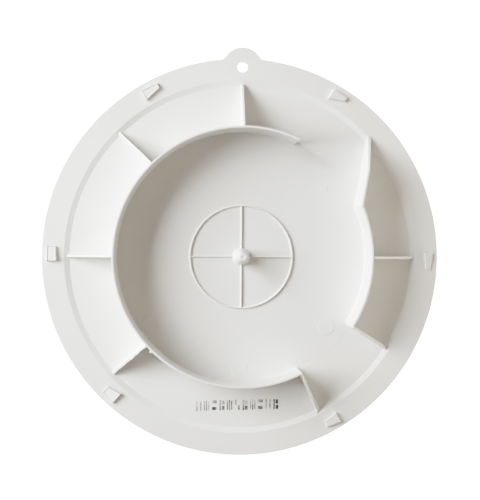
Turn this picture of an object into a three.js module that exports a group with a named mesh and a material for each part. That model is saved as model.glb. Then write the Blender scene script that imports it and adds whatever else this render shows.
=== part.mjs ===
// Round cover of a small bathroom extractor fan: the back half of its scroll casing, one off-white plastic
// moulding divided along its own features. It lies on its smooth outer face, with the inside up (+Z) and the
// hanging lug at +Y. Millimetres. The origin is on the disc's axis, at the outer face. Angles are in degrees,
// anticlockwise from +X seen from the inside.
import * as THREE from 'three';

// Disc
const rimRadius = 90;
const rimThickness = 2.6;
const floorThickness = 1.7;
const stepTopRadius = 80;
const stepFootRadius = 77.2;
const gap = 0.3;

// Hanging lug: a round lobe about its screw hole, blended into the rim
const lugHoleY = 86;
const lugHoleRadius = 2.35;
const lugRadius = 9.1;
const lugFilletRadius = 3.2;

// Scroll wall, drafted a little thinner towards its top edge
const wallInnerRadius = 56.5;
const wallOuterRadius = 58.2;
const wallTopInnerRadius = 56.7;
const wallTopOuterRadius = 57.65;
const wallHeight = 17.5;
const tongueAngle = 65.2;
const slotStartAngle = 297;
const slotEndAngle = 328;
const kinkAngle = 23.6;

// Outlet guide wall, straight from the kink of the scroll to the step
const guideThickness = 1.3;
const guideGap = 0.5;
const guideEndAngle = 41.2;
const guideFullHeightLength = 15.5;

// Gusset ribs, from the scroll wall down to the step
const ribThickness = 0.9;
const ribAngles = [90, 135, 180, 222.5, slotStartAngle, slotEndAngle, 360];

// Clips on the rim, no two alike
const clips = [
  { angle: 118.9, innerRadius: 83.1, depth: 4.1, length: 7.9 },
  { angle: 179.3, innerRadius: 83.4, depth: 4, length: 6.6 },
  { angle: 226.7, innerRadius: 82.6, depth: 4.9, length: 6.3 },
  { angle: 299.3, innerRadius: 83.2, depth: 4.1, length: 6.7 },
  { angle: 358.9, innerRadius: 83.9, depth: 3.5, length: 7.9 },
  { angle: 59.2, innerRadius: 83, depth: 4, length: 7.5 },
];
const clipHeight = 2;
const clipLeadIn = 0.6;

// Centre ring, its cross and the pin
const ringRadius = 23.2;
const ringThickness = 0.8;
const ringHeight = 1;
const spokeThickness = 0.8;
const bossFootRadius = 4.5;
const bossTopRadius = 2.3;
const bossHeight = 6;
const pinTopRadius = 1.7;
const pinHeight = 10;
const dimpleRadius = 0.9;
const dimpleDepth = 0.4;

const discSegments = 120;
const arcStep = 4;
const roundSegments = 32;
const shellColour = 0xe9e8e2;

const radians = THREE.MathUtils.degToRad;
const cover = new THREE.Group();

function polar(radius, degrees) {
  return new THREE.Vector2(radius * Math.cos(radians(degrees)), radius * Math.sin(radians(degrees)));
}

function addPiece(name, geometry, x = 0, y = 0, z = 0, turn = 0) {
  const material = new THREE.MeshStandardMaterial({ color: shellColour, roughness: 0.55, metalness: 0 });
  const mesh = new THREE.Mesh(geometry, material);
  mesh.name = name;
  mesh.position.set(x, y, z);
  mesh.rotation.z = radians(turn);
  cover.add(mesh);
  return mesh;
}

function extrude(shape, depth, curveSegments = 12) {
  return new THREE.ExtrudeGeometry(shape, { depth, bevelEnabled: false, curveSegments });
}

// A closed band between two radii, from one angle to a larger one
function sectorShape(inner, outer, from, to) {
  const shape = new THREE.Shape();
  shape.absarc(0, 0, outer, radians(from), radians(to), false);
  shape.absarc(0, 0, inner, radians(to), radians(from), true);
  shape.closePath();
  return shape;
}

// A solid of revolution about Z from a profile of [radius, height] points
function revolve(profile, segments) {
  const points = profile.map(([radius, height]) => new THREE.Vector2(radius, height));
  const geometry = new THREE.LatheGeometry(points, segments);
  geometry.rotateX(Math.PI / 2);
  return geometry;
}

// A flat upright panel: its outline is drawn as distance along the panel and height
function uprightPanel(outline, thickness) {
  const shape = new THREE.Shape(outline.map(([along, up]) => new THREE.Vector2(along, up)));
  const geometry = extrude(shape, thickness);
  geometry.rotateX(Math.PI / 2);
  geometry.translate(0, thickness / 2, 0);
  return geometry;
}

// Disc: floor, step and rim
addPiece('floor_plate', revolve([
  [0, 0],
  [stepFootRadius - gap / 2, 0],
  [stepFootRadius - gap / 2, floorThickness],
  [0, floorThickness],
], discSegments));

addPiece('step_ring', revolve([
  [stepFootRadius + gap / 2, 0],
  [stepTopRadius, 0],
  [stepTopRadius, rimThickness],
  [stepFootRadius + gap / 2, floorThickness],
  [stepFootRadius + gap / 2, 0],
], discSegments));

// The fillet's centre is lugRadius + lugFilletRadius from the hole and rimRadius + lugFilletRadius from the axis
const filletReach = rimRadius + lugFilletRadius;
const lobeReach = lugRadius + lugFilletRadius;
const filletCosine = (filletReach ** 2 + lugHoleY ** 2 - lobeReach ** 2) / (2 * filletReach * lugHoleY);
const lugHalfAngle = THREE.MathUtils.radToDeg(Math.acos(filletCosine));
const rimInnerRadius = stepTopRadius + gap;
const lugGapAngle = THREE.MathUtils.radToDeg(gap / rimInnerRadius);

addPiece('rim_flange', extrude(
  sectorShape(rimInnerRadius, rimRadius, 90 + lugHalfAngle + lugGapAngle, 450 - lugHalfAngle - lugGapAngle),
  rimThickness,
  discSegments,
));

function lugShape() {
  const hole = new THREE.Vector2(0, lugHoleY);
  const right = polar(filletReach, 90 - lugHalfAngle);
  const left = polar(filletReach, 90 + lugHalfAngle);
  const rimFromRight = Math.atan2(-right.y, -right.x);
  const lobeFromRight = hole.clone().sub(right).angle();
  const shape = new THREE.Shape();
  shape.absarc(right.x, right.y, lugFilletRadius, rimFromRight, lobeFromRight - 2 * Math.PI, true);
  shape.absarc(0, lugHoleY, lugRadius, lobeFromRight - Math.PI, 2 * Math.PI - lobeFromRight, false);
  shape.absarc(left.x, left.y, lugFilletRadius, Math.PI - lobeFromRight, Math.PI - rimFromRight, true);
  shape.absarc(0, 0, rimInnerRadius, radians(90 + lugHalfAngle), radians(90 - lugHalfAngle), true);
  shape.closePath();
  const screwHole = new THREE.Path();
  screwHole.absarc(0, lugHoleY, lugHoleRadius, 0, 2 * Math.PI, true);
  shape.holes.push(screwHole);
  return shape;
}
addPiece('hanging_lug', extrude(lugShape(), rimThickness, 24));

// Scroll wall: one piece between each two ribs, drafted by moving the ring of vertices at its top
function wallPiece(from, to) {
  const steps = Math.ceil((to - from) / arcStep);
  const geometry = extrude(sectorShape(wallInnerRadius, wallOuterRadius, from, to), wallHeight, steps);
  const position = geometry.attributes.position;
  const middleRadius = (wallInnerRadius + wallOuterRadius) / 2;
  for (let i = 0; i < position.count; i += 1) {
    if (position.getZ(i) < wallHeight / 2) continue;
    const vertex = new THREE.Vector2(position.getX(i), position.getY(i));
    vertex.setLength(vertex.length() > middleRadius ? wallTopOuterRadius : wallTopInnerRadius);
    position.setXY(i, vertex.x, vertex.y);
  }
  return geometry;
}
const halfGapAngle = THREE.MathUtils.radToDeg(gap / 2 / wallInnerRadius);
const wallSpans = [
  [tongueAngle, 90],
  [90, 135],
  [135, 180],
  [180, 222.5],
  [222.5, slotStartAngle],
  [slotEndAngle, 360],
  [360, 360 + kinkAngle],
];
wallSpans.forEach(([from, to], i) => {
  const piece = wallPiece(from + halfGapAngle, to - halfGapAngle);
  addPiece(`scroll_wall_${i + 1}`, piece, 0, 0, floorThickness);
});

// Outlet guide wall: full height at first, then its top edge slopes down to the rim's level
const stepHeight = rimThickness - floorThickness;
const guideStart = polar((wallInnerRadius + wallOuterRadius) / 2, kinkAngle);
const guideEnd = polar(stepFootRadius - gap - guideThickness / 2, guideEndAngle);
const guideRun = guideEnd.clone().sub(guideStart);
addPiece('outlet_guide_wall', uprightPanel([
  [guideGap, 0],
  [guideRun.length(), 0],
  [guideRun.length(), stepHeight],
  [guideFullHeightLength, wallHeight],
  [guideGap, wallHeight],
], guideThickness), guideStart.x, guideStart.y, floorThickness, THREE.MathUtils.radToDeg(guideRun.angle()));

// Gusset ribs
const ribFoot = wallOuterRadius + gap;
const ribTip = stepFootRadius - gap;
ribAngles.forEach((angle, i) => {
  addPiece(`gusset_rib_${i + 1}`, uprightPanel([
    [ribFoot, 0],
    [ribTip, 0],
    [ribTip, stepHeight],
    [ribFoot, wallHeight],
  ], ribThickness), 0, 0, floorThickness, angle);
});

// Rim clips: low blocks with a lead-in slope on the side towards the axis
clips.forEach(({ angle, innerRadius, depth, length }, i) => {
  addPiece(`rim_clip_${i + 1}`, uprightPanel([
    [innerRadius, 0],
    [innerRadius + depth, 0],
    [innerRadius + depth, clipHeight],
    [innerRadius + clipLeadIn, clipHeight],
    [innerRadius, clipHeight - clipLeadIn],
  ], length), 0, 0, rimThickness, angle);
});

// Centre ring and its cross
const ringInner = ringRadius - ringThickness / 2;
const ringOuter = ringRadius + ringThickness / 2;
addPiece('centre_ring', revolve([
  [ringInner, 0],
  [ringOuter, 0],
  [ringOuter, ringHeight],
  [ringInner, ringHeight],
  [ringInner, 0],
], 96), 0, 0, floorThickness);

const spokeStart = bossFootRadius + gap;
const spokeLength = ringInner - gap - spokeStart;
for (let i = 0; i < 4; i += 1) {
  const spoke = new THREE.BoxGeometry(spokeLength, spokeThickness, ringHeight);
  spoke.translate(spokeStart + spokeLength / 2, 0, ringHeight / 2);
  addPiece(`centre_spoke_${i + 1}`, spoke, 0, 0, floorThickness, 90 * i);
}

// Boss and pin: a slender cone with a small dimple in its top
addPiece('centre_boss', revolve([
  [0, 0],
  [bossFootRadius, 0],
  [bossTopRadius, bossHeight],
  [0, bossHeight],
], roundSegments), 0, 0, floorThickness);

addPiece('centre_pin', revolve([
  [0, 0],
  [bossTopRadius, 0],
  [pinTopRadius, pinHeight],
  [dimpleRadius, pinHeight],
  [0, pinHeight - dimpleDepth],
], roundSegments), 0, 0, floorThickness + bossHeight);

export default cover;
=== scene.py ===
import math
import random

import bmesh
import bpy
from mathutils import Matrix, Vector, noise
from mathutils.geometry import tessellate_polygon


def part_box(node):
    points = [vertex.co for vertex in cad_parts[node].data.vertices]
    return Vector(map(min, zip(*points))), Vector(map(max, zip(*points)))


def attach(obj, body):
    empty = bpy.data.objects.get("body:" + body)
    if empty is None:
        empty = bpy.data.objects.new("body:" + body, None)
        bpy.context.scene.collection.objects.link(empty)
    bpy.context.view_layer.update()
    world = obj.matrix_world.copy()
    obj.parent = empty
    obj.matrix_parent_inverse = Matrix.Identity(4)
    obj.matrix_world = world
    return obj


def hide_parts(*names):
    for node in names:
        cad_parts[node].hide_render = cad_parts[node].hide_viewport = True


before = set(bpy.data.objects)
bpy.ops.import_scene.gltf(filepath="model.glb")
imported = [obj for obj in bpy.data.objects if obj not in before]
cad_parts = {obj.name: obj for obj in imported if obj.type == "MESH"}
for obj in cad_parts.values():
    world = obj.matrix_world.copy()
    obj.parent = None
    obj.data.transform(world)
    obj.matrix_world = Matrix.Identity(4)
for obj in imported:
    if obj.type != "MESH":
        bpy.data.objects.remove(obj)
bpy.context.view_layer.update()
random.seed(11)

unit = 0.001  # sizes are in millimetres and angles in degrees, meshes in metres


def sizeOf(node):
    low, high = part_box(node)
    return Vector(low) / unit, Vector(high) / unit


# the moulding's main sizes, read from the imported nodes
floorTop = sizeOf("floor_plate")[1].z
rimTop = sizeOf("rim_flange")[1].z
rimRadius = sizeOf("rim_flange")[1].x
stepTopRadius = sizeOf("step_ring")[1].x
wallHeight = sizeOf("scroll_wall_2")[1].z - floorTop
wallFootRadius = -sizeOf("scroll_wall_3")[0].x
lugTip = sizeOf("hanging_lug")[1].y
bossSplit = sizeOf("centre_boss")[1].z
pinTip = sizeOf("centre_pin")[1].z
print("frame read: rim", round(rimRadius, 1), "mm, walls", round(wallHeight, 1), "mm high")


def polar(radius, angle, height=0.0):
    turn = math.radians(angle)
    return Vector((radius * math.cos(turn), radius * math.sin(turn), height))


def spread(start, end, count):
    return [start + (end - start) * i / (count - 1) for i in range(count)]


# above the disc, leaning a little to its left
cameraSet = {
    "distance": 480.0,
    "leanX": -3.4,
    "leanY": 0.43,
    "roll": 0.34,
    "lens": 76.2,
    "sensor": 36,
    "nearest": 10,
    "aim": Vector((-0.66, 3.07, 0.0)),
}


def placeCamera(made):
    centre = Vector((0, 0, rimTop))
    back = Vector((math.sin(math.radians(made["leanX"])), math.sin(math.radians(made["leanY"])), 0))
    back.z = math.sqrt(1 - back.x ** 2 - back.y ** 2)
    place = centre + back * made["distance"]
    look = centre + made["aim"] - place
    side = Vector((0, 1, 0)).cross(-look).normalized()
    up = (-look).normalized().cross(side)
    turned = Matrix((side, up, (-look).normalized())).transposed().to_4x4()
    data = bpy.data.cameras.new("coverCamera")
    data.lens = made["lens"]
    data.sensor_width = made["sensor"]
    data.clip_start = made["nearest"] * unit
    camera = bpy.data.objects.new("coverCamera", data)
    roll = Matrix.Rotation(math.radians(made["roll"]), 4, "Z")
    camera.matrix_world = Matrix.Translation(place * unit) @ turned @ roll
    bpy.context.scene.collection.objects.link(camera)
    bpy.context.scene.camera = camera


placeCamera(cameraSet)
print("camera placed")


# a socket that adds its own nodes when it is used in an expression
class Wire:
    def __init__(self, tree, socket=None):
        self.tree = tree
        self.socket = socket

    def make(self, kind, settings=None, inputs=None, output=0):
        node = self.tree.nodes.new("ShaderNode" + kind)
        for name, value in (settings or {}).items():
            setattr(node, name, value)
        for name, value in (inputs or {}).items():
            if isinstance(value, Wire):
                self.tree.links.new(value.socket, node.inputs[name])
            else:
                node.inputs[name].default_value = value
        return Wire(self.tree, node.outputs[output])

    def maths(self, operation, first, second=0.0):
        return self.make("Math", {"operation": operation}, {0: first, 1: second})

    def __add__(self, other):
        return self.maths("ADD", self, other)

    __radd__ = __add__

    def __sub__(self, other):
        return self.maths("SUBTRACT", self, other)

    def __rsub__(self, other):
        return self.maths("SUBTRACT", other, self)

    def __mul__(self, other):
        return self.maths("MULTIPLY", self, other)

    __rmul__ = __mul__

    def over(self, limit, softness):
        # 0 below the limit, 1 above it, with a soft edge
        rise = (self - limit) * (1 / softness)
        return self.make("Clamp", None, {"Value": rise})


def mixColour(mask, low, high):
    # the colour mode of a Mix node: its factor is input 0, its colours are 6 and 7
    return mask.make("Mix", {"data_type": "RGBA"}, {0: mask, 6: low, 7: high}, 2)


def startMaterial(name):
    material = bpy.data.materials.new(name)
    material.use_nodes = True
    tree = material.node_tree
    tree.nodes.clear()
    wire = Wire(tree)
    place = wire.make("TexCoord", output="Object")
    return material, wire, place


def closeMaterial(wire, sockets):
    surface = wire.make("BsdfPrincipled", None, sockets)
    output = wire.tree.nodes.new("ShaderNodeOutputMaterial")
    wire.tree.links.new(surface.socket, output.inputs["Surface"])


def noiseLayer(wire, place, layer):
    scale, detail = layer
    return wire.make("TexNoise", None, {"Vector": place, "Scale": scale, "Detail": detail})


# off-white moulded plastic: fine spark-eroded grain, slow flow ripples, dull scuffs and a few dust specks
shellSet = {
    "pale": (0.800, 0.800, 0.782, 1),
    "deep": (0.775, 0.772, 0.748, 1),
    "speck": (0.60, 0.57, 0.50, 1),
    "toneNoise": (22.0, 3.0),  # scale and detail
    "grainNoise": (5200.0, 2.0),
    "rippleNoise": (70.0, 1.0),
    "scuffNoise": (180.0, 5.0),
    "luckNoise": (112.0, 2.0),  # which cells have a speck
    "toneFrom": 0.3,
    "toneSoft": 0.4,
    "speckScale": 160.0,
    "speckSize": 0.035,
    "speckLuck": 0.62,
    "speckSoft": 0.02,
    "speckStain": 0.55,
    "speckDull": 0.2,
    "speckHeight": 0.02,
    "roughness": 0.5,
    "roughnessSpread": 0.14,
    "grainDepth": 0.006,
    "rippleDepth": 0.05,
    "bend": 1.5,
    "shine": 0.3,
}


def shellMaterial(made):
    material, wire, place = startMaterial("offWhitePlastic")
    tone = noiseLayer(wire, place, made["toneNoise"])
    grain = noiseLayer(wire, place, made["grainNoise"])
    ripple = noiseLayer(wire, place, made["rippleNoise"])
    scuff = noiseLayer(wire, place, made["scuffNoise"])
    cell = wire.make("TexVoronoi", None, {"Vector": place, "Scale": made["speckScale"]})
    luck = noiseLayer(wire, place, made["luckNoise"])
    inside = 1 - cell.over(made["speckSize"], made["speckSoft"])
    speck = inside * luck.over(made["speckLuck"], made["speckSoft"])
    colour = mixColour(tone.over(made["toneFrom"], made["toneSoft"]), made["deep"], made["pale"])
    colour = mixColour(speck * made["speckStain"], colour, made["speck"])
    rough = made["roughness"] + (scuff - 0.5) * made["roughnessSpread"] + speck * made["speckDull"]
    height = grain * made["grainDepth"] + ripple * made["rippleDepth"] + speck * made["speckHeight"]
    bump = wire.make("Bump", None, {"Height": height, "Strength": 1.0, "Distance": unit})
    closeMaterial(wire, {
        "Base Color": colour,
        "Roughness": rough,
        "Normal": bump,
        "IOR": made["bend"],
        "Specular IOR Level": made["shine"],
    })
    return material


# dark stamping ink, worn thin in blots
inkSet = {
    "ink": (0.05, 0.045, 0.06, 1),
    "worn": (0.56, 0.55, 0.53, 1),
    "blotNoise": (900.0, 3.0),
    "fadeNoise": (150.0, 1.0),
    "blotShare": 0.55,
    "fadeShare": 0.9,
    "wornBelow": 0.62,
    "wornSoft": 0.28,
    "roughness": 0.62,
    "inkGloss": 0.12,
    "bend": 1.45,
}


def inkMaterial(made):
    material, wire, place = startMaterial("stampInk")
    blot = noiseLayer(wire, place, made["blotNoise"])
    fade = noiseLayer(wire, place, made["fadeNoise"])
    mottle = blot * made["blotShare"] + fade * made["fadeShare"]
    cover = mottle.over(made["wornBelow"], made["wornSoft"])
    closeMaterial(wire, {
        "Base Color": mixColour(cover, made["worn"], made["ink"]),
        "Roughness": made["roughness"] - cover * made["inkGloss"],
        "IOR": made["bend"],
    })
    return material


shellPlastic = shellMaterial(shellSet)
stampInk = inkMaterial(inkSet)
print("materials made")


# how every mesh is cleaned and shaded, in metres and degrees
meshSet = {
    "weld": 2e-7,
    "sliver": 1e-7,
    "sharpAngle": 38,
}


def joinRings(mesh, near, far):
    for i in range(len(near)):
        j = (i + 1) % len(near)
        mesh.faces.new((near[i], near[j], far[j], far[i]))


def loft(sections, closedPath=False):
    mesh = bmesh.new()
    rings = [[mesh.verts.new(point * unit) for point in section] for section in sections]
    pairs = list(zip(rings, rings[1:]))
    if closedPath:
        pairs.append((rings[-1], rings[0]))
    for near, far in pairs:
        joinRings(mesh, near, far)
    if not closedPath:
        mesh.faces.new(list(reversed(rings[0])))
        mesh.faces.new(rings[-1])
    return mesh


def revolve(profile, start=0.0, sweepAngle=360.0, step=1.5):
    # a closed profile of (radius, height) turned about the disc's axis
    count = round(sweepAngle / step)
    whole = sweepAngle >= 360
    angles = [start + sweepAngle * i / count for i in range(count if whole else count + 1)]
    sections = [[polar(radius, angle, height) for radius, height in profile] for angle in angles]
    return loft(sections, whole)


def finishPiece(mesh, name, nodes=(), material=shellPlastic):
    bmesh.ops.remove_doubles(mesh, verts=mesh.verts, dist=meshSet["weld"])
    bmesh.ops.dissolve_degenerate(mesh, edges=mesh.edges, dist=meshSet["sliver"])
    bmesh.ops.recalc_face_normals(mesh, faces=mesh.faces)
    data = bpy.data.meshes.new(name)
    mesh.to_mesh(data)
    mesh.free()
    data.shade_smooth()
    data.set_sharp_from_angle(angle=math.radians(meshSet["sharpAngle"]))
    data.materials.append(material)
    piece = bpy.data.objects.new(name, data)
    bpy.context.scene.collection.objects.link(piece)
    shading = piece.modifiers.new("evenCorners", "WEIGHTED_NORMAL")
    shading.keep_sharp = True
    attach(piece, "root")
    if nodes:
        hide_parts(*nodes)


def arcPoints(centre, radius, start, end, count):
    points = []
    for angle in spread(start, end, count):
        turn = math.radians(angle)
        points.append((centre[0] + radius * math.cos(turn), centre[1] + radius * math.sin(turn)))
    return points


# how every upright wall is rounded
sectionSet = {
    "heightShare": 0.42,  # the most of a low wall's height that one rounding takes
    "rootPoints": 5,
    "crownPoints": 4,
    "tipAngles": (25, 45, 62, 76, 86),
    "tipThin": 0.12,
}


def wallSection(height, shape):
    # (across, up) round an upright wall: a fillet at each foot, drafted sides, a rounded top edge
    root = min(shape["root"], sectionSet["heightShare"] * height)
    crown = min(shape["crown"], sectionSet["heightShare"] * height)
    foot = shape["foot"]
    leftTop = foot + (shape["topLeft"] - foot) * height / shape["fullHeight"]
    rightTop = foot + (shape["topRight"] - foot) * height / shape["fullHeight"]
    section = [(-foot - root, -shape["sink"])]
    section += arcPoints((-foot - root, root), root, -90, 0, sectionSet["rootPoints"])
    section += arcPoints((-leftTop + crown, height - crown), crown, 180, 90, sectionSet["crownPoints"])
    section += arcPoints((rightTop - crown, height - crown), crown, 90, 0, sectionSet["crownPoints"])
    section += arcPoints((foot + root, root), root, 180, 270, sectionSet["rootPoints"])
    section.append((foot + root, -shape["sink"]))
    return section


def placeSection(section, foot, side, narrow=1.0):
    return [Vector((foot.x + side.x * across * narrow, foot.y + side.y * across * narrow, floorTop + up))
            for across, up in section]


def tipStations(foot, side, along, length):
    # narrows a wall to a rounded end
    stations = []
    for angle in sectionSet["tipAngles"]:
        turn = math.radians(angle)
        spot = foot + along * length * math.sin(turn)
        stations.append((spot, side, max(sectionSet["tipThin"], math.cos(turn))))
    return stations


# floor, step and rim
discSet = {
    "floorRings": [0, 8, 16, 24, 32, 40, 48, 56, 64, 72],
    "edgeRound": 0.5,
    "edgePoints": 5,
    "stepRound": 0.45,
    "stepPoints": 4,
    "stepRun": 2.6,
    "turnStep": 0.75,
}


def edgeLevels(made):
    # (inset, height) up the rim's outer edge, rounded at both corners
    r = made["edgeRound"]
    lower = []
    for angle in spread(0, 90, made["edgePoints"]):
        turn = math.radians(angle)
        lower.append((r - r * math.sin(turn), r - r * math.cos(turn)))
    return lower + [(inset, rimTop - height) for inset, height in reversed(lower)]


def stepSlope(made):
    return math.degrees(math.atan2(rimTop - floorTop, made["stepRun"]))


def stepFoot(made):
    # where the floor ends and the step's lower rounding begins
    tangent = made["stepRound"] * math.tan(math.radians(stepSlope(made) / 2))
    return stepTopRadius - made["stepRun"] - tangent


def makeFloor(made):
    rings = made["floorRings"] + [stepFoot(made)]
    profile = [(radius, 0) for radius in rings] + [(radius, floorTop) for radius in reversed(rings)]
    finishPiece(revolve(profile, step=made["turnStep"]), "floorPlate", ["floor_plate"])


def makeStep(made):
    r = made["stepRound"]
    slope = stepSlope(made)
    inner = stepFoot(made)
    outer = inner + made["stepRun"]
    lowArc = arcPoints((inner, floorTop + r), r, -90, slope - 90, made["stepPoints"])
    highArc = arcPoints((outer, rimTop - r), r, slope + 90, 90, made["stepPoints"])
    profile = [(inner, 0), (stepTopRadius, 0), (stepTopRadius, rimTop)] + highArc[::-1] + lowArc[::-1]
    finishPiece(revolve(profile, step=made["turnStep"]), "stepRing", ["step_ring"])


# the lug is a lobe round its screw hole, with a fillet on each side into the rim
lugSet = {
    "lobe": 9.1,
    "lobePoints": 49,
    "fillet": 3.2,
    "filletPoints": 9,
    "innerPoints": 13,
    "hole": 2.35,
    "holePoints": 41,
    "holeRound": 0.2,
    "roundMiddle": 0.3,
}
lugHoleY = lugTip - lugSet["lobe"]
filletReach = rimRadius + lugSet["fillet"]
lobeReach = lugSet["lobe"] + lugSet["fillet"]
lugCosine = (filletReach ** 2 + lugHoleY ** 2 - lobeReach ** 2) / (2 * filletReach * lugHoleY)
lugHalf = math.degrees(math.acos(lugCosine))


def makeRim(made):
    profile = [(stepTopRadius, 0)] + [(rimRadius - inset, height) for inset, height in edgeLevels(made)]
    profile.append((stepTopRadius, rimTop))
    mesh = revolve(profile, 90 + lugHalf, 360 - 2 * lugHalf, made["turnStep"])
    finishPiece(mesh, "rimFlange", ["rim_flange"])


def lugOutline(made, inset):
    # from the rim's tangent point on the right, over the lobe, to the one on the left
    hole = Vector((0, lugHoleY))
    centre = polar(filletReach, 90 - lugHalf).to_2d()
    fromRim = math.degrees(math.atan2(-centre.y, -centre.x)) + 360
    toLobe = math.degrees(math.atan2(hole.y - centre.y, hole.x - centre.x)) % 360
    right = arcPoints(centre, made["fillet"] + inset, fromRim, toLobe, made["filletPoints"])
    lobe = arcPoints(hole, made["lobe"] - inset, toLobe - 180, 360 - toLobe, made["lobePoints"])
    left = [(-x, y) for x, y in reversed(right)]
    inner = arcPoints((0, 0), stepTopRadius, 90 + lugHalf, 90 - lugHalf, made["innerPoints"])
    return right[:-1] + lobe + left[1:] + inner


def makeLug(made, edge):
    mesh = bmesh.new()
    rings = []
    for inset, height in edgeLevels(edge):
        rings.append([mesh.verts.new(Vector((x, y, height)) * unit) for x, y in lugOutline(made, inset)])
    r = made["holeRound"]
    mid = r * made["roundMiddle"]
    steps = [(r, 0), (mid, mid), (0, r), (0, rimTop - r), (mid, rimTop - mid), (r, rimTop)]
    bores = []
    for grow, height in steps:
        circle = arcPoints((0, lugHoleY), made["hole"] + grow, 0, 360, made["holePoints"])[:-1]
        bores.append([mesh.verts.new(Vector((x, y, height)) * unit) for x, y in circle])
    for stack in (rings, bores):
        for near, far in zip(stack, stack[1:]):
            joinRings(mesh, near, far)
    for level in (0, -1):
        loops = [rings[level], bores[level]]
        flat = loops[0] + loops[1]
        for corner in tessellate_polygon([[v.co for v in loop] for loop in loops]):
            mesh.faces.new([flat[i] for i in corner])
    finishPiece(mesh, "hangingLug", ["hanging_lug"])


makeFloor(discSet)
makeStep(discSet)
makeRim(discSet)
makeLug(lugSet, discSet)
print("disc made")


wallSet = {
    "centre": wallFootRadius - 0.85,
    "foot": 0.85,
    "topLeft": 0.65,
    "topRight": 0.30,
    "root": 0.5,
    "crown": 0.2,
    "sink": 0.2,
    "fullHeight": wallHeight,
    "turnStep": 1.5,
    "tongue": 65.2,
    "slot": (297.0, 328.0),
    "kink": 23.6,
    "tipLength": 0.55,
}
ribAngles = [90, 135, 180, 222.5, *wallSet["slot"], 360]


def arcStations(made, start, end):
    count = max(2, round(abs(end - start) / made["turnStep"]) + 1)
    return [(polar(made["centre"], a), polar(1, a), 1.0) for a in spread(start, end, count)]


def makeScrollWalls(made):
    # one piece between each two ribs, with none across the slot
    section = wallSection(wallHeight, made)
    ends = [made["tongue"], *ribAngles, 360 + made["kink"]]
    spans = [span for span in zip(ends, ends[1:]) if span != made["slot"]]
    for i, (start, end) in enumerate(spans):
        stations = arcStations(made, start, end)
        if start == made["tongue"]:
            foot, side, whole = stations[0]
            tip = tipStations(foot, side, polar(1, start - 90), made["tipLength"])
            stations = tip[::-1] + stations
        sections = [placeSection(section, foot, side, narrow) for foot, side, narrow in stations]
        if i == len(spans) - 1:
            sections[-1] = kinkSection(section)
        finishPiece(loft(sections), f"scrollWall{i + 1}", [f"scroll_wall_{i + 1}"])


# the outlet guide wall runs straight from the scroll's end, level at first and then down to the rim
guideSet = {
    "heading": 80.0,
    "foot": 0.75,
    "topLeft": 0.62,
    "topRight": 0.35,
    "root": 0.5,
    "crown": 0.2,
    "sink": 0.2,
    "fullHeight": wallHeight,
    "flatLength": 15.5,
    "endLength": 32.6,
    "aboveRim": 0.25,
    "firstStation": 0.8,
    "stationStep": 1.0,
    "tipLength": 0.5,
}
kinkFoot = polar(wallSet["centre"], wallSet["kink"])
guideAlong = polar(1, guideSet["heading"])
guideSide = polar(1, guideSet["heading"] - 90)


def kinkSection(section):
    # the mitred section that the last arc and the guide wall share
    side = (polar(1, wallSet["kink"]) + guideSide).normalized()
    widen = 1 / side.dot(guideSide)
    return placeSection(section, kinkFoot, side, widen)


def guideHeight(made, distance):
    slope = (distance - made["flatLength"]) / (made["endLength"] - made["flatLength"])
    low = rimTop - floorTop + made["aboveRim"]
    return wallHeight + (low - wallHeight) * min(1, max(0, slope))


def makeGuideWall(made):
    sections = [kinkSection(wallSection(wallHeight, wallSet))]
    count = round(made["endLength"] / made["stationStep"])
    for distance in spread(made["firstStation"], made["endLength"], count):
        foot = kinkFoot + guideAlong * distance
        sections.append(placeSection(wallSection(guideHeight(made, distance), made), foot, guideSide))
    foot = kinkFoot + guideAlong * made["endLength"]
    section = wallSection(guideHeight(made, made["endLength"]), made)
    for spot, side, narrow in tipStations(foot, guideSide, guideAlong, made["tipLength"]):
        sections.append(placeSection(section, spot, side, narrow))
    finishPiece(loft(sections), "outletGuideWall", ["outlet_guide_wall"])


makeScrollWalls(wallSet)
makeGuideWall(guideSet)
print("scroll and guide walls made")


# gusset ribs, a few of them with a rough or bowed top edge, by number
ribSet = {
    "start": wallFootRadius - 0.7,
    "slopeStart": wallFootRadius - 0.35,
    "end": 78.3,
    "foot": 0.55,
    "topLeft": 0.45,
    "topRight": 0.45,
    "root": 0.4,
    "crown": 0.15,
    "sink": 0.2,
    "fullHeight": wallHeight,
    "tipHeight": 0.3,
    "stationStep": 0.6,
    "clean": 0.02,
    "rough": {4: 0.34, 5: 0.16, 6: 0.30},
    "bow": {5: -0.35},
    "tear": {"pitch": 0.9, "seed": 7.3, "from": 0.4},
    "tearShare": 0.8,
    "wander": {"pitch": 0.6, "seed": 3.1, "from": 5.2},
    "lowerBy": 0.01,
}


def wobble(made, radius, number):
    return noise.noise(Vector((radius * made["pitch"], number * made["seed"], made["from"])))


def makeRibs(made):
    reach = made["end"] - made["slopeStart"]
    tip = rimTop - floorTop + made["tipHeight"]
    for i, angle in enumerate(ribAngles, start=1):
        rough = made["rough"].get(i, made["clean"])
        bow = made["bow"].get(i, 0.0)
        along, side = polar(1, angle), polar(1, angle + 90)
        sections = []
        for radius in spread(made["start"], made["end"], round(reach / made["stationStep"])):
            part = min(1, max(0, (radius - made["slopeStart"]) / reach))
            height = wallHeight + (tip - wallHeight) * part
            torn = rough * wobble(made["tear"], radius, i)
            height += torn * made["tearShare"] * (part > 0) - made["lowerBy"]
            wander = rough * wobble(made["wander"], radius, i) + bow * math.sin(math.pi * part)
            section = []
            for across, up in wallSection(height, made):
                lean = (up / height) ** 2 if up > 0 else 0
                section.append((across + wander * lean, up))
            sections.append(placeSection(section, along * radius, side))
        finishPiece(loft(sections), f"gussetRib{i}", [f"gusset_rib_{i}"])


makeRibs(ribSet)
print("ribs made")


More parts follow.
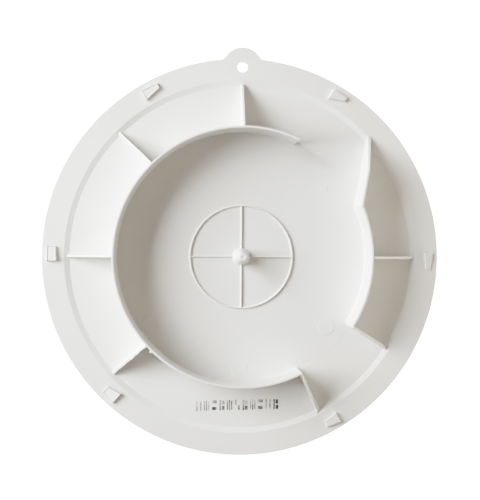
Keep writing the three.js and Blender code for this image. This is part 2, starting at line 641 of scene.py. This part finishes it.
# rim clips, each with (clockwise end, anticlockwise end) pairs for its angle, its inner and outer radius,
# and the height of its inner (low) and outer (high) edge at those ends
clipSet = {
    "shapes": [
        {"angle": (116.2, 121.6), "inner": (84.8, 82.6), "outer": (86.8, 87.3),
         "low": (1.5, 1.2), "high": (1.1, 1.1)},
        {"angle": (177.1, 181.5), "inner": (83.6, 83.3), "outer": (87.4, 87.3),
         "low": (1.0, 1.9), "high": (0.9, 1.6)},
        {"angle": (224.5, 228.9), "inner": (83.9, 82.2), "outer": (87.2, 87.7),
         "low": (0.8, 1.8), "high": (0.6, 1.2)},
        {"angle": (297.1, 301.6), "inner": (83.8, 82.7), "outer": (86.9, 87.5),
         "low": (1.3, 1.9), "high": (1.1, 1.8)},
        {"angle": (356.2, 361.6), "inner": (84.5, 83.7), "outer": (86.8, 87.6),
         "low": (0.7, 1.2), "high": (0.8, 1.3)},
        {"angle": (56.6, 61.7), "inner": (84.8, 81.9), "outer": (86.9, 87.0),
         "low": (1.4, 1.7), "high": (1.6, 2.0)},
    ],
    "round": 0.26,
    "roundSegments": 4,
    "roundProfile": 0.5,
    "cornerAngle": 60,
    "draft": 0.06,
    "sink": 0.1,
    "cuts": 3,
}


def blend(pair, part):
    return pair[0] + (pair[1] - pair[0]) * part


def makeClip(made, number, shape):
    mesh = bmesh.new()
    bmesh.ops.create_cube(mesh, size=1)
    bmesh.ops.subdivide_edges(mesh, edges=mesh.edges, cuts=made["cuts"], use_grid_fill=True)
    corners = [edge for edge in mesh.edges if edge.calc_face_angle(0) > math.radians(made["cornerAngle"])]
    for vertex in mesh.verts:
        top = vertex.co.z + 0.5
        x, y = (part * (1 - made["draft"] * top) + 0.5 for part in (vertex.co.x, vertex.co.y))
        radius = blend((blend(shape["inner"], y), blend(shape["outer"], y)), x)
        height = blend((blend(shape["low"], y), blend(shape["high"], y)), x)
        lift = rimTop + height * top - made["sink"] * (1 - top)
        vertex.co = polar(radius, blend(shape["angle"], y), lift) * unit
    bmesh.ops.bevel(mesh, geom=corners, offset=made["round"] * unit, segments=made["roundSegments"],
                    affect="EDGES", profile=made["roundProfile"])
    finishPiece(mesh, f"rimClip{number}", [f"rim_clip_{number}"])


for number, shape in enumerate(clipSet["shapes"], start=1):
    makeClip(clipSet, number, shape)
print("clips made")


# low ring and cross at the middle, and the tall cone on it
centreSet = {
    "ring": sizeOf("centre_ring")[1].x - 0.4,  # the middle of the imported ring's thickness
    "ringPoints": 145,
    "foot": 0.38,
    "topLeft": 0.28,
    "topRight": 0.28,
    "root": 0.3,
    "crown": 0.18,
    "sink": 0.2,
    "fullHeight": sizeOf("centre_ring")[1].z - floorTop - 0.15,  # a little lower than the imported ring
    "spokeSlim": 0.8,
    "spokeStart": 3.6,
    "spokePoints": 24,
    "bossFoot": 3.9,
    "bossPoints": 8,
    "bossRoot": 0.4,
    "rootPoints": 5,
    "rootBlend": 0.3,
    "pinTop": 1.75,
    "pinPoints": 12,
    "taperPower": 1.9,
    "tipRound": 0.3,
    "tipPoints": 4,
    "tipStart": 20,
    "dimple": 0.8,
    "dimpleDepth": 0.2,
    "dimplePoints": 6,
    "turnStep": 5,
}


def makeCentre(made):
    section = wallSection(made["fullHeight"], made)
    circle = spread(0, 360, made["ringPoints"])[:-1]
    ring = [placeSection(section, polar(made["ring"], a), polar(1, a)) for a in circle]
    finishPiece(loft(ring, True), "centreRing", ["centre_ring"])
    for i in range(4):
        along, side = polar(1, 90 * i), polar(1, 90 * i + 90)
        stations = [placeSection(section, along * radius, side, made["spokeSlim"])
                    for radius in spread(made["spokeStart"], made["ring"], made["spokePoints"])]
        finishPiece(loft(stations), f"centreSpoke{i + 1}", [f"centre_spoke_{i + 1}"])


def conePoints(made, low, high, count):
    points = []
    for height in spread(low, high, count):
        part = 1 - (height - floorTop) / (pinTip - floorTop)
        radius = made["pinTop"] + (made["bossFoot"] - made["pinTop"]) * part ** made["taperPower"]
        points.append((radius, height))
    return points


def makePin(made):
    root = made["bossRoot"]
    reach = made["bossFoot"] + root
    boss = [(0, floorTop - made["sink"]), (reach, floorTop - made["sink"])]
    boss += arcPoints((reach, floorTop + root), root, 270, 180, made["rootPoints"])
    boss += conePoints(made, floorTop + root + made["rootBlend"], bossSplit, made["bossPoints"])
    boss.append((0, bossSplit))
    finishPiece(revolve(boss, step=made["turnStep"]), "centreBoss", ["centre_boss"])
    r = made["tipRound"]
    pin = [(0, bossSplit)] + conePoints(made, bossSplit, pinTip - r, made["pinPoints"])
    tip = pin[-1][0]
    pin += arcPoints((tip - r, pinTip - r), r, made["tipStart"], 90, made["tipPoints"])
    for angle in spread(0, 90, made["dimplePoints"]):
        turn = math.radians(angle)
        pin.append((made["dimple"] * math.cos(turn), pinTip - made["dimpleDepth"] * math.sin(turn)))
    finishPiece(revolve(pin, step=made["turnStep"]), "centrePin", ["centre_pin"])


makeCentre(centreSet)
makePin(centreSet)
print("centre made")


# moulding marks: ejector discs as (radius, angle, size), and thin witness lines
markSet = {
    "ejectors": [(51, 89, 4.1), (51.2, 217, 4.1), (50.8, 269, 3.9), (50.2, 321, 3.9), (48.9, 39.8, 1.8)],
    "ejectorHeight": 0.1,
    "ejectorSink": 0.1,
    "ejectorEdge": [(0.03, 0.7), (0.12, 1), (0.5, 0.8)],  # inset, and part of the height
    "ejectorMiddle": 0.75,
    "turnStep": 7.5,
    "lineWidth": 0.3,
    "lineHeight": 0.05,
    "lineSink": 0.05,
    "lineCrown": 0.5,
    "slotArc": (299.5, 326.0),
    "slotPoints": 40,
    "rimLines": [261.3, 271.2],
    "rimLineEnds": (0.3, 0.6),
}


def ridge(made, points, level):
    # a thin raised line along points
    drop, rise = Vector((0, 0, made["lineSink"])), Vector((0, 0, made["lineHeight"]))
    sections = []
    for i, point in enumerate(points):
        ahead = points[min(i + 1, len(points) - 1)] - points[max(i - 1, 0)]
        side = Vector((ahead.y, -ahead.x, 0)).normalized() * made["lineWidth"] / 2
        crown = side * made["lineCrown"]
        foot = Vector((point.x, point.y, level))
        sections.append([foot - side - drop, foot - crown + rise, foot + crown + rise, foot + side - drop])
    return loft(sections)


def makeMarks(made):
    tall, sink = made["ejectorHeight"], made["ejectorSink"]
    for i, (radius, angle, size) in enumerate(made["ejectors"], start=1):
        profile = [(0, -sink), (size, -sink), (size, 0)]
        profile += [(size - inset, tall * part) for inset, part in made["ejectorEdge"]]
        profile.append((0, tall * made["ejectorMiddle"]))
        mesh = revolve(profile, step=made["turnStep"])
        bmesh.ops.translate(mesh, verts=mesh.verts, vec=polar(radius, angle, floorTop) * unit)
        finishPiece(mesh, f"ejectorMark{i}")
    arc = [polar(wallFootRadius, a) for a in spread(*made["slotArc"], made["slotPoints"])]
    finishPiece(ridge(made, arc, floorTop), "slotWitness")
    inner, outer = made["rimLineEnds"]
    for i, angle in enumerate(made["rimLines"], start=1):
        line = [polar(stepTopRadius + inner, angle), polar(rimRadius - outer, angle)]
        finishPiece(ridge(made, line, rimTop), f"rimWitness{i}")


# small lumps of flash, each as (radius, angle, height, size)
burrSet = {
    "places": {
        "wallBurr": (wallFootRadius - 0.35, 226.0, floorTop + wallHeight - 0.35, 0.55),
        "guideBurr": (78.3, 40.6, rimTop, 0.5),
        "slotBurr": (wallFootRadius - 0.1, 301.7, floorTop, 0.35),
        "ribBurr": (78.6, 296.4, rimTop, 0.6),
    },
    "lumpiness": 0.45,
    "lumpPitch": 1.7,
    "lumpSeed": (5.0, 2, 1),
    "flatten": 0.6,
    "fineness": 3,
}


def makeBurrs(made):
    step, seedY, seedZ = made["lumpSeed"]
    for i, (name, (radius, angle, height, size)) in enumerate(made["places"].items()):
        mesh = bmesh.new()
        bmesh.ops.create_icosphere(mesh, subdivisions=made["fineness"], radius=1)
        for vertex in mesh.verts:
            lump = noise.noise(vertex.co * made["lumpPitch"] + Vector((i * step, seedY, seedZ)))
            vertex.co = vertex.co * (1 + made["lumpiness"] * lump) * size
            vertex.co.z *= made["flatten"]
            vertex.co = (vertex.co + polar(radius, angle, height)) * unit
        finishPiece(mesh, name)


makeMarks(markSet)
makeBurrs(burrSet)
print("moulding marks made")


# stamped ink: a plain row of worn bars and blocks
# every mark is a few strokes: (across, along, width, height) as parts of the mark's own size
stampSet = {
    "marks": [
        [(-0.34, 0, 0.26, 1.0), (0.34, 0, 0.26, 0.9)],
        [(0, 0.32, 0.9, 0.30), (0, -0.32, 0.8, 0.30)],
        [(-0.38, 0, 0.22, 0.9), (0, 0, 0.22, 1.0), (0.38, 0, 0.22, 0.85)],
        [(-0.30, 0.26, 0.34, 0.46), (0.30, -0.26, 0.34, 0.46)],
        [(-0.30, 0, 0.30, 1.0), (0.22, 0.26, 0.5, 0.4), (0.22, -0.26, 0.5, 0.4)],
    ],
    "order": [0, 2, 1, 4, 2, 3, 4, 2, 1, 0, 4],
    "centre": Vector((-1.4, -67.3)),
    "pitch": 3.5,
    "tall": 4.7,
    "wide": 2.5,
    "lift": 0.02,
    "tilt": 1.5,
    "jitter": 0.2,
    "waver": 0.12,
    "waverPitch": 1.3,
    "edgePoints": 7,
}


def inkStroke(made, mesh, centre, width, tall):
    # a thin patch with a wavering outline
    outline = []
    corners = [(-1, -1), (1, -1), (1, 1), (-1, 1)]
    for (ax, ay), (bx, by) in zip(corners, corners[1:] + corners[:1]):
        for part in spread(0, 1, made["edgePoints"])[:-1]:
            x, y = ax + (bx - ax) * part, ay + (by - ay) * part
            spot = Vector((centre.x + x * width / 2, centre.y + y * tall / 2, 0))
            waver = noise.noise_vector(spot * made["waverPitch"]).to_2d().to_3d()
            outline.append(spot + made["waver"] * waver)
    top, low = ([mesh.verts.new((p + Vector((0, 0, floorTop + lift))) * unit) for p in outline]
                for lift in (made["lift"], -made["lift"]))
    mesh.faces.new(top)
    mesh.faces.new(low[::-1])
    joinRings(mesh, low, top)


def makeStamp(made):
    mesh = bmesh.new()
    middle = (len(made["order"]) - 1) / 2
    slope = math.tan(math.radians(made["tilt"]))
    for i, mark in enumerate(made["order"]):
        x = made["centre"].x + (i - middle) * made["pitch"]
        y = made["centre"].y + (i - middle) * made["pitch"] * slope
        spot = Vector((x, y + random.uniform(-made["jitter"], made["jitter"])))
        for across, along, width, height in made["marks"][mark]:
            shift = Vector((across * made["wide"], along * made["tall"]))
            inkStroke(made, mesh, spot + shift, width * made["wide"], height * made["tall"])
    finishPiece(mesh, "stampBars", material=stampInk)


makeStamp(stampSet)
print("stamp made")


# a soft window from the left, and a pale card close by on the right
lampSet = {
    "windowLight": {"turn": 162.5, "rise": 31, "distance": 900, "width": 640, "height": 495, "power": 8.8,
                    "colour": (0.963, 1.0, 1.038)},
    "cardLight": {"turn": -6, "rise": 12, "distance": 300, "width": 240, "height": 110, "power": 0.15,
                  "colour": (1.052, 1.0, 0.865)},
}


def makeLamp(name, made):
    light = bpy.data.lights.new(name, "AREA")
    light.shape = "RECTANGLE"
    light.size = made["width"] * unit
    light.size_y = made["height"] * unit
    light.energy = made["power"]
    light.color = made["colour"]
    lamp = bpy.data.objects.new(name, light)
    rise = math.radians(made["rise"])
    away = polar(math.cos(rise), made["turn"], math.sin(rise))
    lamp.location = away * made["distance"] * unit
    lamp.rotation_euler = away.to_track_quat("Z", "Y").to_euler()
    lamp.visible_camera = False
    bpy.context.scene.collection.objects.link(lamp)


# white paper under the disc, and the room round it
stageSet = {
    "floorSize": 12000.0,
    "floorTiles": 8,
    "floorDrop": 0.05,
    "floorColour": (0.93, 0.93, 0.93, 1),
    "floorGlow": 1.3,
    "fibreNoise": (300.0, 4.0),
    "roughness": 0.85,
    "roughnessSpread": 0.1,
    "roomColour": (0.147, 0.124, 0.101, 1),
    "roomStrength": 1.0,
}


def makeStage(made):
    mesh = bmesh.new()
    tiles = made["floorTiles"]
    bmesh.ops.create_grid(mesh, x_segments=tiles, y_segments=tiles, size=made["floorSize"] / 2 * unit)
    data = bpy.data.meshes.new("studioFloor")
    mesh.to_mesh(data)
    mesh.free()
    studioFloor = bpy.data.objects.new("studioFloor", data)
    studioFloor.location.z = -made["floorDrop"] * unit
    material, wire, place = startMaterial("studioPaper")
    fibre = noiseLayer(wire, place, made["fibreNoise"])
    closeMaterial(wire, {
        "Base Color": made["floorColour"],
        "Roughness": made["roughness"] + (fibre - 0.5) * made["roughnessSpread"],
        "Emission Color": (1, 1, 1, 1),
        "Emission Strength": made["floorGlow"],
    })
    data.materials.append(material)
    bpy.context.scene.collection.objects.link(studioFloor)
    world = bpy.data.worlds.new("softRoom")
    world.use_nodes = True
    backdrop = world.node_tree.nodes["Background"]
    backdrop.inputs["Color"].default_value = made["roomColour"]
    backdrop.inputs["Strength"].default_value = made["roomStrength"]
    bpy.context.scene.world = world


# how the film answers to light: straight in the shadows, easing off towards white
filmSet = {
    "white": 1.5,
    "ease": 2.5,
    "steps": 24,
    "crowding": 1.6,  # above 1 puts more of the steps in the shadows
    "combinedCurve": 3,  # after red, green and blue
}


def makeFilm(made):
    view = bpy.context.scene.view_settings
    view.view_transform = "Standard"
    view.use_curve_mapping = True
    film = view.curve_mapping
    film.white_level = (made["white"],) * 3
    curve = film.curves[made["combinedCurve"]]
    most = 1 - math.exp(-made["ease"] * made["white"])
    for step in range(1, made["steps"]):
        part = (step / made["steps"]) ** made["crowding"]
        curve.points.new(part, (1 - math.exp(-made["ease"] * made["white"] * part)) / most)
    film.update()


for name, made in lampSet.items():
    makeLamp(name, made)
makeFilm(filmSet)
makeStage(stageSet)
print("stage made")
